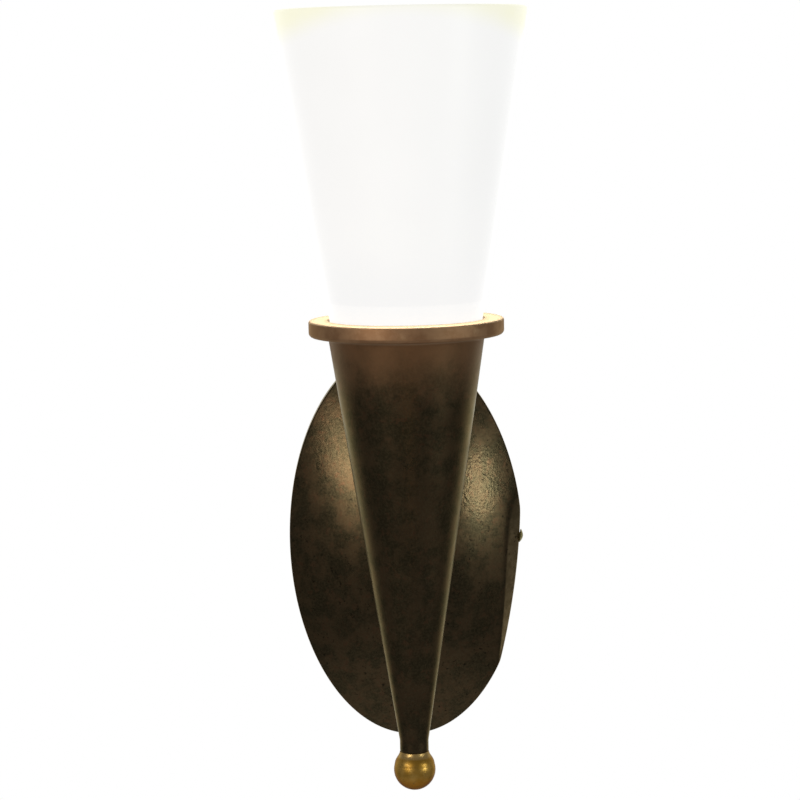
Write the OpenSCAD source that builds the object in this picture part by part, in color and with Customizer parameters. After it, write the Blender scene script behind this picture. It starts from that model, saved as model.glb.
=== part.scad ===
// Torch sconce: a bronze cone on an oval domed backplate, with a drop-in glass shade and a ball finial.
// Millimetres. The wall is the plane y = 0, +X is to the viewer's right and +Z is up; the fixture stands
// out towards -Y. The origin is the middle of the backplate, on the wall, in line with the arm.

/* [Backplate] */
// Width of the oval
plate_w = 120.6; // [112:0.2:136]
// Height of the oval
plate_h = 202.5; // [180:0.5:230]
// Depth of the straight skirt against the wall
skirt_depth = 8; // [7.5:0.5:10]
// Rise of the dome above the skirt
crown = 22; // [18:0.5:28]
// Thickness of the pressed sheet
plate_sheet = 1.2; // [0.8:0.1:1.6]
// Radius of the bend between skirt and dome
edge_r = 1.5; // [0.8:0.1:2.5]
// How far the arm's flat seat lies below the top of the dome
pad_drop = 1; // [0.8:0.1:2]
// Height of the upper end of the pressed side flat
flat_top = 9; // [7:0.5:14]
// Height of the lower end of the pressed side flat
flat_bottom = -57; // [-70:1:-45]
// Lean of the slanted face above the side flat, in degrees
flat_lean = 46; // [40:1:52]

/* [Torch cone] */
// Distance from the wall to the torch's axis
projection = 78; // [74:0.5:95]
// Length of the cone above the arm, up to the top of its flange
cone_above = 122; // [112:1:135]
// Length of the cone below the arm
cone_below = 93.5; // [84:0.5:110]
// Outer radius at the mouth, where the cone would meet the top of the flange
mouth_r = 40; // [38:0.1:44]
// Outer radius of the straight tip
tip_r = 7.1; // [6.6:0.1:8]
// Length of the straight tip
tip_len = 4.6; // [3:0.2:8]
// Wall of the cone
cone_wall = 1.6; // [1.2:0.1:2.2]
// Outer radius of the flange
flange_r = 47.6; // [46:0.1:52]
// Thickness of the flange
flange_t = 8; // [4.5:0.1:9.5]
// Rounding of the flange's lower edge
flange_low_r = 2.2; // [1:0.1:3]
// Rounding of the flange's upper edge
flange_top_r = 1.1; // [0.5:0.1:1.4]
// Cove between the cone and the flange
cove_r = 2.6; // [2:0.1:4]

/* [Glass shade] */
// Outer radius at the top
shade_top_r = 61.2; // [55:0.2:70]
// Height above the flange
shade_rise = 149.8; // [130:0.2:170]
// Depth that the glass sits below the top of the flange
shade_seat = 17; // [13:0.5:20]
// Wall of the glass
shade_wall = 3; // [2.4:0.1:4]
// Gap between the glass and the cone's mouth
shade_gap = 1.1; // [0.6:0.1:1.4]
// Thickness of the soft ring under the glass
gasket_t = 2; // [1:0.1:3]

/* [Finial and side screw] */
// Radius of the ball finial
ball_r = 10.3; // [9.5:0.1:12]
// Height of the turned neck between the ball and the tip
ball_neck = 0.9; // [0.4:0.1:2]
// Radius of the side screw's round head
head_r = 3.5; // [3.2:0.1:3.8]
// Height of the side screw's head
head_t = 1.6; // [1.2:0.1:2]
// Radius of the side screw's shank
shank_r = 1.75; // [1.7:0.05:2.3]
// Length of the side screw's shank
shank_len = 9; // [7:0.5:12]
// Distance from the wall to the middle of the side screw
screw_depth = 4.2; // [4:0.1:4.6]
// Height of the side screw above the wall slots
screw_rise = 1.4; // [0:0.1:2]

/* [Pipe thread parts] */
// Outer radius of the threaded pipe
pipe_r = 4.8; // [4.6:0.05:4.85]
// Bore radius of the threaded pipe
pipe_bore = 3.2; // [3:0.05:3.4]
// Distance across the flats of a pipe nut
nut_flats = 14; // [13:0.5:15]
// Thickness of a pipe nut
nut_t = 4; // [3:0.5:5]

/* [Arm] */
// Outer radius of the arm's tube
arm_r = 8; // [7:0.1:9]
// Radius of the arm's foot on the backplate
foot_r = 12; // [11:0.1:12.5]
// Thickness of the arm's foot
foot_t = 3; // [2:0.1:4]
// Radius of the arm's collar against the cone
collar_r = 9.6; // [9:0.1:10.5]
// Radius of the threaded boss brazed into the cone
boss_r = 7.8; // [7:0.1:8.4]

/* [Lampholder and lamp] */
// Outer radius of the drawn cup that carries the lampholder
cup_r = 21; // [19:0.5:23]
// Depth of the drawn cup
cup_depth = 56; // [54:0.5:62]
// Sheet of the drawn cup
cup_sheet = 0.8; // [0.6:0.1:1.2]
// Outer radius of the lampholder's shell
holder_r = 15.8; // [15.6:0.1:16.6]
// Radius of the lamp's screw base
base_r = 13; // [12.8:0.1:13.2]
// Widest radius of the lamp's glass
bulb_r = 24; // [22:0.5:27]
// Height of the lamp's glass above its base
bulb_rise = 64; // [58:1:74]

/* [Wall bracket] */
// Width of the bracket's strap
strap_w = 19; // [16:0.5:22]
// Thickness of the strap
strap_t = 1.6; // [1.2:0.1:2]
// Distance between the middles of the two fixing slots
slot_spacing = 79.4; // [74:0.1:80]
// Length of each fixing slot, end to end
slot_len = 14.3; // [10:0.1:15]
// Half width of each fixing slot
slot_r = 2.4; // [2:0.1:2.6]

/* [Wiring] */
// Radius of an insulated lead
lead_r = 1; // [0.8:0.05:1.1]
// Radius of a wire connector at its mouth
connector_r = 5.6; // [5:0.1:6]
// Length of a wire connector
connector_len = 22; // [18:1:26]

/* [Hidden] */
$fn = 96;
eps = 0.01;
far = 400;
play = 0.06;            // radial running clearance of a turning fit
fit_gap = 0.05;         // clearance of a fixed fit
snug_gap = 0.1;         // radial clearance of a hole that locates a piece
loose_gap = 0.2;        // radial clearance of a hole that a piece only passes
over = 1;               // how far a cutting shape reaches past what it cuts
seat_gap = 0.3;         // gap between a turning ball and the piece it closes against

// backplate
plate_a = plate_w / 2;
plate_b = plate_h / 2;
plate_steps = 96;
pad_depth = skirt_depth + crown - pad_drop;
pad_share = sqrt(pad_drop / crown);
flat_u1 = plate_a * sqrt(1 - pow(flat_top / plate_b, 2));
flat_u2 = plate_a * sqrt(1 - pow(flat_bottom / plate_b, 2));
flat_turn = atan2(flat_u2 - flat_u1, flat_top - flat_bottom);
flat_depth = skirt_depth - edge_r;
screw_slide = (screw_rise - flat_top) / cos(flat_turn);

// torch cone
flange_top = cone_above;
flange_under = flange_top - flange_t;
tip_z = -cone_below;
cone_slope = (mouth_r - tip_r) / (flange_top - tip_z - tip_len);
cone_angle = atan(cone_slope);
cone_wall_flat = cone_wall / cos(cone_angle);
tip_bore = pipe_r + snug_gap;
lip_r = 0.7;
function cone_out(z) = tip_r + cone_slope * (z - tip_z - tip_len);
function cone_in(z) = cone_out(z) - cone_wall_flat;
tip_bore_top = tip_z + tip_len + (tip_bore + cone_wall_flat - tip_r) / cone_slope;

// glass shade
shade_bottom = flange_top - shade_seat;
shade_top = flange_top + shade_rise;
shade_mouth_r = cone_in(flange_top) - shade_gap;
shade_slope = (shade_top_r - shade_mouth_r) / shade_rise;
function shade_out(z) = shade_mouth_r + shade_slope * (z - flange_top);
rim_r = shade_wall / 2;
gasket_lip = 0.8;

// drawn cup and lampholder, from the glass's seat down
brim_top = shade_bottom - gasket_t;
cup_floor = brim_top - cup_depth;
brim_lip = 7;
brim_gap = 0.15;
vent_r = 3;
vent_z = cup_floor + 19.6;
hub_h = 8;
hub_r = 7.6;
cap_h = 24;
cap_r = holder_r + 1.2;
cap_floor = cup_floor + cup_sheet;
cap_rim = cap_floor + cap_h;
cap_neck_r = 3;
cap_edge_r = 4;
cap_shoulder = cap_floor + hub_h + cap_neck_r / 2;
set_screw_r = 1.5;
set_screw_len = 6.4;
set_slot = 0.6;
set_slot_depth = 0.8;
metal_t = 0.5;
liner_t = 0.8;
liner_in = 0.5;
shell_drop = 1;
shell_lap = 5;
shell_top = brim_top - shell_drop;
shell_foot = cap_rim - shell_lap;
liner_top = shell_top - liner_in;
liner_r = holder_r - metal_t - fit_gap;
screw_shell_r = base_r + snug_gap;
screw_shell_t = 0.4;
core_r = liner_r - liner_t - fit_gap;
wiring_room = 7;
lamp_recess = 23;
core_foot = cap_floor + hub_h + wiring_room;
core_top = shell_top - lamp_recess;
recess_deep = 3.5;
recess_w = 7;
recess_h = 11;
recess_x = core_r - recess_deep;
terminal_z = core_foot + 3.2;
terminal_r = 1.8;
terminal_t = 1.2;
contact_r = 2;
contact_foot_r = 3.2;
contact_h = 1.6;
lamp_foot = core_top + contact_h + snug_gap;
lamp_contact_r = 3.4;
lamp_contact_h = 0.6;
base_h = 21;
insulator_h = 4;
base_foot = lamp_foot + insulator_h;
base_top = base_foot + base_h;
insulator_edge = 1;
insulator_in = 1.5;
bulb_foot = base_foot + 2;
bulb_wall = 0.8;
neck_step = 0.7;
neck_rise = 5;
bulb_mid = base_top + bulb_rise - bulb_r;
bulb_neck_r = base_r - neck_step;
bulb_neck_z = base_top + neck_rise;
neck_drop = bulb_mid - bulb_neck_z;
neck_arc_r = (pow(neck_drop, 2) / (bulb_r - bulb_neck_r) - (bulb_r + bulb_neck_r)) / 2;
neck_turn = acos((bulb_neck_r + neck_arc_r) / (bulb_r + neck_arc_r));
stem_r = 4;
stem_top = base_top + 9.5;
wire_r = 0.4;
wire_x = 2;
wire_lean = 14;
wire_foot = stem_top + 0.5;
wire_spread = wire_x + (bulb_mid - wire_foot) * tan(wire_lean);
filament_r = 0.8;

// pipe parts
driver_slot = 1;
ball_seat_z = tip_z - seat_gap;
ball_z = ball_seat_z - ball_neck - sqrt(pow(ball_r, 2) - pow(tip_r, 2));
pipe_reach = 2.5;
pipe_foot = ball_z - pipe_reach;
pipe_drop = 1;
pipe_top = cap_floor + hub_h - pipe_drop;
window_w = 5;
window_h = 11;
nut_r = nut_flats / 2 / cos(30);
washer_t = 1;
washer_rim = 1.2;
washer_r = nut_flats / 2 + washer_rim;
washer_depth = pad_depth - plate_sheet - washer_t;
nut_depth = washer_depth - nut_t;
nipple_tail = 7;
nipple_back = nut_depth - nipple_tail;
nipple_clear = 4.8;
nipple_front = projection - pipe_r - nipple_clear;
bushing_t = 3;
bushing_wall = 1.5;
bushing_r = pipe_r + bushing_wall;
bushing_lip = 0.3;

// arm
cope_back = projection - cone_out(0);
cope_reach = 8;
collar_len = 14.5;
collar_edge = 0.8;
arm_fillet = 2.5;
foot_edge = 1;
boss_drop = 1.4;

// wall bracket
left_inner = plate_a - plate_sheet;
lug_gap = 1;
stud_r = 1.5;
stud_rim = 0.8;
stud_head_t = 1;
stud_depth = screw_depth;
ground_x = 24;
ground_r = 2;
ground_head_r = 4;
ground_head_t = 2.2;
centre_hole_r = pipe_r + snug_gap;
lug_h = flat_depth;

// wire connectors: across, height of the mouth, and depth from the wall
connector_depth = 10;
connector_mouth = -28;
connector_rim = 4;
connector_neck = 2;
connector_nose = 1;
connector_bore = 5.2;
connector_gap = 0.4;
lead_bite = 5;
black_x = 9;
white_x = -9;
ground_lead_x = 30;
lead_sides = 8;

// routes of the leads, chosen by hand: x, depth from the wall, height
lead_x = 1.2;
lead_end_x = recess_x + lead_r + loose_gap;
holder_route = [
    [lead_end_x, projection, core_foot + 1.2], [lead_end_x, projection, core_foot - 0.6],
    [lead_end_x - 1.5, projection, core_foot - 2.2], [7, projection, core_foot - 2.6],
    [3.6, projection, core_foot - 3.8], [1.8, projection, core_foot - 6.6],
    [lead_x, projection, core_foot - 11],
    [lead_x, projection, 20], [lead_x, projection, 9],
    [lead_x, projection - 0.6, 5], [lead_x, projection - 2.4, 2],
    [lead_x, projection - 5.2, 0.4], [lead_x, projection - 9, 0],
    [lead_x, nipple_back + 8, 0], [lead_x, nipple_back - 2, 0],
    [1.8, nipple_back - 4.6, -1.2], [3.4, nipple_back - 6, -4.4],
    [5.6, connector_depth - 1.2, -11], [8, connector_depth - 0.4, -19],
    [black_x, connector_depth, connector_mouth + 3], [black_x, connector_depth, connector_mouth - lead_bite]
];
ground_route = [
    [ground_x + 3.2, strap_t + 1.2, -4], [ground_x + 4.4, 4, -8], [ground_x + 5.4, 7, -13],
    [ground_lead_x, connector_depth - 0.6, -20], [ground_lead_x, connector_depth, connector_mouth + 3],
    [ground_lead_x, connector_depth, connector_mouth - lead_bite]
];

// ---- frames ----

// Children drawn with +Z out of the wall and +Y up are stood against the wall.
module out_of_wall() rotate([90, 0, 0]) children();

// Children are placed on the torch's vertical axis.
module on_torch() translate([0, -projection, 0]) children();

// Wall frame to the side flat: +X is the flat's outward normal, the origin is its upper end at the wall.
module on_flat() translate([flat_u1, flat_top, 0]) rotate([0, 0, flat_turn]) children();

// Side flat to the side screw's axis, with +Z out along the screw.
module on_screw() on_flat() translate([0, screw_slide, screw_depth]) rotate([0, 90, 0]) children();

// ---- shapes ----

// Points of an arc about c, from angle a0 to a1.
function arc(c, r, a0, a1, n = 8) =
    [for (k = [0:n]) let (a = a0 + (a1 - a0) * k / n) c + r * [cos(a), sin(a)]];

// A flat ring or tube from z0 to z1.
module tube(ro, ri, z0, z1) {
    difference() {
        translate([0, 0, z0]) cylinder(r = ro, h = z1 - z0);
        translate([0, 0, z0 - over]) cylinder(r = ri, h = z1 - z0 + 2 * over);
    }
}

// A hexagonal nut with a bore.
module hex_nut(z0, bore) {
    difference() {
        translate([0, 0, z0]) cylinder(r = nut_r, h = nut_t, $fn = 6);
        translate([0, 0, z0 - over]) cylinder(r = bore, h = nut_t + 2 * over);
    }
}

// A screw head with rounded top and a driver slot: seat at z = 0, top at z = t.
module slotted_head(r, t) {
    round_r = t * 0.7;
    slot_foot = t * 0.55;
    difference() {
        rotate_extrude()
            polygon(concat([[0, 0], [r, 0]], arc([r - round_r, t - round_r], round_r, 0, 90, 6), [[0, t]]));
        translate([-r, -driver_slot / 2, slot_foot]) cube([2 * r, driver_slot, t]);
    }
}

// ---- smooth tube along a route ----

function unit(v) = v / norm(v);
// Catmull-Rom point between p1 and p2.
function blend_point(p0, p1, p2, p3, t) = 0.5 * (2 * p1 + (p2 - p0) * t
    + (2 * p0 - 5 * p1 + 4 * p2 - p3) * t * t + (3 * p1 - p0 - 3 * p2 + p3) * t * t * t);
function smooth_route(r, n) = concat(
    [for (i = [0:len(r) - 2], k = [0:n - 1])
        blend_point(r[max(i - 1, 0)], r[i], r[i + 1], r[min(i + 2, len(r) - 1)], k / n)],
    [r[len(r) - 1]]);
function along(r, i) = unit(r[min(i + 1, len(r) - 1)] - r[max(i - 1, 0)]);
// A direction square to the route, carried from ring to ring without twist.
function carried(r, i, side) = unit(side - (side * along(r, i)) * along(r, i));
function sides(r, i, s) = i >= len(r) ? [] : concat([carried(r, i, s)], sides(r, i + 1, carried(r, i, s)));
module swept(route, radius, n) {
    r = smooth_route(route, n);
    s = sides(r, 0, [0.3, 1, 0.2]);
    m = len(r);
    points = [for (i = [0:m - 1], k = [0:lead_sides - 1]) let (a = 360 * k / lead_sides)
        r[i] + radius * (cos(a) * s[i] + sin(a) * cross(along(r, i), s[i]))];
    faces = concat(
        [[for (k = [0:lead_sides - 1]) k]],
        [for (i = [0:m - 2], k = [0:lead_sides - 1], h = [0, 1])
            let (a = i * lead_sides + k, b = i * lead_sides + (k + 1) % lead_sides)
            h == 0 ? [a, a + lead_sides, b] : [b, a + lead_sides, b + lead_sides]],
        [[for (k = [lead_sides - 1:-1:0]) (m - 1) * lead_sides + k]]);
    polyhedron(points, faces);
}

// ---- backplate ----

// Rings of the dome as [share of the oval, depth]: skirt, bend, crown and flat seat.
function dome_rings(a, skirt) = concat(
    [[1, 0], [1, skirt - edge_r]],
    [for (e = [30, 60]) [1 - edge_r * (1 - cos(e)) / a, skirt - edge_r * (1 - sin(e))]],
    [for (q = [0.97, 0.91, 0.84, 0.75, 0.65, 0.54, 0.42, 0.31]) [q, skirt + crown * (1 - q * q)]],
    [[pad_share, skirt + crown - pad_drop]]);

// The solid that an oval domed skin of the given half axes encloses.
module dome_solid(a, b, skirt) {
    rings = dome_rings(a, skirt);
    n = plate_steps;
    m = len(rings);
    points = concat(
        [for (r = rings, k = [0:n - 1]) [a * r[0] * cos(360 * k / n), b * r[0] * sin(360 * k / n), r[1]]]);
    faces = concat(
        [[for (k = [0:n - 1]) k]],
        [for (i = [0:m - 2], k = [0:n - 1], h = [0, 1])
            let (p = i * n + k, q = i * n + (k + 1) % n)
            h == 0 ? [p, p + n, q] : [q, p + n, q + n]],
        [[for (k = [n - 1:-1:0]) (m - 1) * n + k]]);
    polyhedron(points, faces);
}

// The dome solid with its side flat and the slanted face above it, cut at a depth under their outer faces.
module flatted_dome(a, b, skirt, under) {
    intersection() {
        dome_solid(a, b, skirt);
        on_flat() translate([-far - under, -far / 2, -far / 2]) cube(far);
        on_flat() translate([0, 0, flat_depth]) rotate([0, -flat_lean, 0])
            translate([-far - under, -far / 2, -far / 2]) cube(far);
    }
}

module backplate() {
    color("#3a2a1e") out_of_wall() difference() {
        flatted_dome(plate_a, plate_b, skirt_depth, 0);
        translate([0, 0, -eps]) flatted_dome(plate_a - plate_sheet, plate_b - plate_sheet,
            skirt_depth - plate_sheet + eps, plate_sheet);
        cylinder(r = pipe_r + loose_gap, h = far);
        on_screw() translate([0, 0, -2 * plate_sheet])
            cylinder(r = shank_r + loose_gap, h = 4 * plate_sheet);
        translate([-plate_a + 2 * plate_sheet, 0, stud_depth]) rotate([0, -90, 0])
            cylinder(r = stud_r + loose_gap, h = 4 * plate_sheet);
    }
}

module side_screw() {
    color("#6b5a30") out_of_wall() on_screw() translate([0, 0, fit_gap]) {
        rotate([0, 0, 90]) slotted_head(head_r, head_t);
        translate([0, 0, -shank_len]) cylinder(r = shank_r, h = shank_len + eps);
    }
}

// ---- wall bracket ----

module fixing_slot(x) {
    reach = slot_len / 2 - slot_r;
    for (side = [-1, 1]) translate([x + side * reach, 0, -over])
        cylinder(r = slot_r, h = strap_t + 2 * over);
    translate([x - reach, -slot_r, -over]) cube([2 * reach, 2 * slot_r, strap_t + 2 * over]);
}

module mounting_bracket() {
    left_x = -(left_inner - lug_gap);
    color("#b9bcc0") out_of_wall() difference() {
        union() {
            translate([left_x, -strap_w / 2, 0]) cube([strap_t, strap_w, lug_h]);
            // the strap's right end is cut in line with the side flat, and its lug lies behind the flat
            intersection() {
                translate([left_x, -strap_w / 2, 0]) cube([plate_w, strap_w, lug_h]);
                on_flat() translate([-lug_gap - plate_sheet, -far / 2, 0]) {
                    translate([-strap_t, 0, 0]) cube([strap_t, far, far]);
                    translate([-far, 0, 0]) cube([far, far, strap_t]);
                }
            }
        }
        for (side = [-1, 1]) fixing_slot(side * slot_spacing / 2);
        translate([0, 0, -over]) cylinder(r = centre_hole_r, h = strap_t + 2 * over);
        translate([ground_x, 0, -over]) cylinder(r = ground_r + fit_gap, h = strap_t + 2 * over);
        on_screw() translate([0, 0, -shank_len]) cylinder(r = shank_r + play, h = shank_len);
        translate([left_x - over, 0, stud_depth]) rotate([0, 90, 0])
            cylinder(r = stud_r + fit_gap, h = strap_t + 2 * over);
    }
}

module locating_stud() {
    lug_inner = left_inner - lug_gap - strap_t;
    color("#b9bcc0") out_of_wall() translate([-lug_inner, 0, stud_depth]) rotate([0, -90, 0]) {
        cylinder(r = stud_r, h = plate_a - lug_inner);
        translate([0, 0, -stud_head_t]) cylinder(r = stud_r + stud_rim, h = stud_head_t);
    }
}

module ground_screw() {
    color("#2f7d4a") out_of_wall() translate([ground_x, 0, strap_t]) {
        slotted_head(ground_head_r, ground_head_t);
        translate([0, 0, -strap_t]) cylinder(r = ground_r, h = strap_t + eps);
    }
}

// ---- arm ----

// Everything inside the cone's outer surface moved out by gap, for the pieces that are coped to it.
module cone_body(gap = 0) {
    on_torch() rotate_extrude() polygon([
        [0, tip_z], [cone_out(tip_z) + gap, tip_z], [mouth_r + gap, flange_top], [0, flange_top]]);
}

module arm_tube() {
    bore = pipe_r + loose_gap;
    foot_top = pad_depth + foot_t;
    collar_end = cope_back + cope_reach;
    collar_back = collar_end - collar_len;
    color("#33261b") difference() {
        out_of_wall() rotate_extrude() polygon(concat(
            [[bore, pad_depth], [foot_r, pad_depth]],
            arc([foot_r - foot_edge, foot_top - foot_edge], foot_edge, 0, 90, 4),
            [[arm_r + arm_fillet, foot_top]],
            arc([arm_r + arm_fillet, foot_top + arm_fillet], arm_fillet, 270, 180, 6),
            [[arm_r, collar_back]],
            arc([collar_r - collar_edge, collar_back + 2 * collar_edge], collar_edge, 270, 360, 4),
            [[collar_r, collar_end], [bore, collar_end]]));
        cone_body(fit_gap);
    }
}

module cone_boss() {
    color("#c8a24a") intersection() {
        out_of_wall() tube(boss_r, pipe_r + fit_gap, cope_back - cope_reach, nipple_front - boss_drop);
        cone_body();
    }
}

module arm_nipple() {
    color("#c0a050") out_of_wall() tube(pipe_r, pipe_bore, nipple_back, nipple_front);
}

module arm_washer() {
    color("#a8abb0") out_of_wall()
        tube(washer_r, pipe_r + loose_gap, washer_depth, washer_depth + washer_t);
}

module arm_nut() {
    color("#b08d3c") out_of_wall() hex_nut(nut_depth, pipe_r + fit_gap);
}

module nipple_bushing() {
    color("#20201f") out_of_wall() difference() {
        tube(bushing_r, pipe_bore - bushing_lip, nipple_back - bushing_t / 2, nipple_back + bushing_t / 2);
        translate([0, 0, nipple_back]) cylinder(r = pipe_r + fit_gap, h = bushing_t);
    }
}

// ---- torch ----

module torch_cone() {
    cove_mid = [cone_out(flange_under - cove_r) + cove_r / cos(cone_angle), flange_under - cove_r];
    color("#3a2a1e") difference() {
        on_torch() rotate_extrude() polygon(concat(
            [[tip_bore, tip_z], [tip_r, tip_z], [tip_r, tip_z + tip_len]],
            arc(cove_mid, cove_r, 180 - cone_angle, 90, 6),
            arc([flange_r - flange_low_r, flange_under + flange_low_r], flange_low_r, -90, 0, 6),
            arc([flange_r - flange_top_r, flange_top - flange_top_r], flange_top_r, 0, 90, 5),
            arc([cone_in(flange_top) + lip_r, flange_top - lip_r], lip_r, 90, 180, 4),
            [[tip_bore, tip_bore_top]]));
        out_of_wall() translate([0, 0, cope_back - cope_reach])
            cylinder(r = boss_r + fit_gap, h = cone_out(0) + cope_reach);
    }
}

module ball_finial() {
    color("#a8822f") on_torch() difference() {
        union() {
            translate([0, 0, ball_z]) sphere(r = ball_r);
            translate([0, 0, ball_z]) cylinder(r = tip_r, h = ball_seat_z - ball_z);
        }
        translate([-far / 2, -far / 2, ball_seat_z]) cube(far);
        translate([0, 0, pipe_foot - over]) cylinder(r = pipe_r + play, h = far);
    }
}

module centre_pipe() {
    color("#c0a050") on_torch() difference() {
        tube(pipe_r, pipe_bore, pipe_foot, pipe_top);
        // window at the arm, where the leads turn out of the pipe
        translate([-window_w / 2, 0, -window_w / 2]) cube([window_w, far, window_h]);
    }
}

module cup_nut() {
    color("#b08d3c") on_torch() hex_nut(cup_floor - nut_t, pipe_r + fit_gap);
}

module holder_cup() {
    brim_r = cone_in(brim_top) - brim_gap;
    lip_foot_r = cone_in(brim_top - brim_lip) - brim_gap;
    color("#c9cbce") on_torch() difference() {
        rotate_extrude() polygon([
            [pipe_r + loose_gap, cup_floor], [cup_r, cup_floor], [cup_r, brim_top - cup_sheet],
            [brim_r - cup_sheet, brim_top - cup_sheet], [lip_foot_r - cup_sheet, brim_top - brim_lip],
            [lip_foot_r, brim_top - brim_lip], [brim_r, brim_top],
            [cup_r - cup_sheet, brim_top], [cup_r - cup_sheet, cap_floor],
            [pipe_r + loose_gap, cap_floor]]);
        for (a = [45:90:315]) rotate([0, 0, a]) translate([cup_r - vent_r, 0, vent_z])
            rotate([0, 90, 0]) cylinder(r = vent_r, h = 2 * vent_r);
    }
}

// ---- lampholder ----

module holder_cap() {
    color("#b8923f") on_torch() difference() {
        rotate_extrude() polygon(concat(
            [[pipe_r + fit_gap, cap_floor], [hub_r, cap_floor], [hub_r, cap_shoulder - cap_neck_r]],
            arc([hub_r + cap_neck_r, cap_shoulder - cap_neck_r], cap_neck_r, 180, 90, 5),
            arc([cap_r - cap_edge_r, cap_shoulder + cap_edge_r], cap_edge_r, -90, 0, 6),
            [[cap_r, cap_rim], [cap_r - metal_t, cap_rim]],
            arc([cap_r - cap_edge_r, cap_shoulder + cap_edge_r], cap_edge_r - metal_t, 0, -90, 6),
            [[pipe_r + fit_gap, cap_shoulder + metal_t]]));
        translate([0, 0, cap_floor + hub_h / 2]) rotate([0, 90, 90])
            cylinder(r = set_screw_r + fit_gap, h = cap_r);
    }
}

module holder_set_screw() {
    color("#b9bcc0") on_torch() translate([0, pipe_r, cap_floor + hub_h / 2]) rotate([-90, 0, 0])
        difference() {
            cylinder(r = set_screw_r, h = set_screw_len);
            translate([-set_screw_r - over, -set_slot / 2, set_screw_len - set_slot_depth])
                cube([2 * (set_screw_r + over), set_slot, set_slot_depth + over]);
        }
}

module holder_shell() {
    color("#c9a552") on_torch() tube(holder_r, holder_r - metal_t, shell_foot, shell_top);
}

module holder_liner() {
    color("#d8c8a2") on_torch() tube(liner_r, liner_r - liner_t, shell_foot + liner_in, liner_top);
}

module holder_core() {
    color("#1e1c1a") on_torch() difference() {
        translate([0, 0, core_foot]) cylinder(r = core_r, h = core_top - core_foot);
        // recesses for the two terminals
        for (side = [-1, 1]) translate([side * core_r, 0, core_foot])
            cube([2 * recess_deep, recess_w, recess_h], center = true);
    }
}

module holder_screw_shell() {
    color("#c7c9cc") on_torch() tube(screw_shell_r + screw_shell_t, screw_shell_r, core_top, liner_top);
}

module holder_contact() {
    color("#c79a3a") on_torch() translate([0, 0, core_top]) {
        cylinder(r = contact_foot_r, h = contact_h / 2);
        cylinder(r = contact_r, h = contact_h);
    }
}

module terminal_screws() {
    color("#c7a04a") on_torch() for (side = [0, 180]) rotate([0, 0, side])
        translate([recess_x, 0, terminal_z]) rotate([0, 90, 0]) slotted_head(terminal_r, terminal_t);
}

// ---- lamp ----

module lamp_base() {
    color("#c9cbce") on_torch() tube(base_r, bulb_neck_r + fit_gap, base_foot, base_top);
}

module lamp_insulator() {
    foot = lamp_foot + lamp_contact_h;
    rim = base_r - insulator_edge;
    color("#242222") on_torch() rotate_extrude() polygon([
        [0, foot], [lamp_contact_r, foot], [rim, base_foot - fit_gap],
        [rim, base_foot + insulator_in], [0, base_foot + insulator_in]]);
}

module lamp_contact() {
    color("#b9a06a") on_torch() translate([0, 0, lamp_foot])
        cylinder(r = lamp_contact_r, h = lamp_contact_h);
}

// The bulb's outline as a revolved curve: neck, flare and ball, shrunk by inset for the inside.
function bulb_outline(inset) = concat(
    [[bulb_neck_r - inset, bulb_foot], [bulb_neck_r - inset, bulb_neck_z]],
    [for (k = [1:7]) let (a = 180 - k / 7 * neck_turn)
        [bulb_neck_r + neck_arc_r + (neck_arc_r + inset) * cos(a),
         bulb_neck_z + (neck_arc_r + inset) * sin(a)]],
    [for (k = [1:12]) let (a = -neck_turn + (90 + neck_turn) * k / 12)
        [k == 12 ? 0 : (bulb_r - inset) * cos(a), bulb_mid + (bulb_r - inset) * sin(a)]]);

module lamp_bulb() {
    color("#f4f1e6") on_torch() difference() {
        rotate_extrude() polygon(concat([[0, bulb_foot]], bulb_outline(0)));
        rotate_extrude() polygon(concat(
            [[0, bulb_foot - over], [bulb_neck_r - bulb_wall, bulb_foot - over]], bulb_outline(bulb_wall)));
    }
}

// The two wires that stand in the stem and hold the filament.
module support_wires(radius) {
    for (side = [-1, 1]) translate([side * wire_x, 0, wire_foot]) rotate([0, side * wire_lean, 0])
        cylinder(r = radius, h = (bulb_mid - wire_foot) / cos(wire_lean));
}

module lamp_stem() {
    foot = base_foot + insulator_in;
    color("#dfe6e6") on_torch() difference() {
        union() {
            translate([0, 0, foot]) cylinder(r = stem_r, h = stem_top - foot);
            translate([0, 0, stem_top]) sphere(r = stem_r);
        }
        support_wires(wire_r + fit_gap);
    }
}

module lamp_filament() {
    color("#6a6a6a") on_torch() {
        support_wires(wire_r);
        translate([-wire_spread, 0, bulb_mid]) rotate([0, 90, 0])
            cylinder(r = filament_r, h = 2 * wire_spread);
    }
}

// ---- glass ----

module shade_gasket() {
    color("#e6e2d6") on_torch()
        tube(shade_out(shade_bottom) + loose_gap, shade_out(shade_bottom) - shade_wall - gasket_lip,
            brim_top, shade_bottom);
}

module glass_shade() {
    wall_flat = shade_wall / cos(atan(shade_slope));
    rim_z = shade_top - rim_r;
    rim_mid = [shade_out(rim_z) - wall_flat / 2, rim_z];
    color("#fbfaf2") on_torch() rotate_extrude() polygon(concat(
        [[shade_out(shade_bottom) - wall_flat, shade_bottom], [shade_out(shade_bottom), shade_bottom]],
        arc(rim_mid, wall_flat / 2, 0, 180, 10)));
}

// ---- wiring ----

// A lead's route stands in the wall's frame as x, height, depth.
function in_wall(route, side = 1) = [for (p = route) [side * p[0], p[2], p[1]]];

module lead_black() {
    color("#1d1d1f") out_of_wall() swept(in_wall(holder_route), lead_r, 3);
}

module lead_white() {
    color("#e8e6e0") out_of_wall() swept(in_wall(holder_route, -1), lead_r, 3);
}

module lead_ground() {
    color("#3f8f4f") out_of_wall() swept(in_wall(ground_route), lead_r, 4);
}

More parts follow.
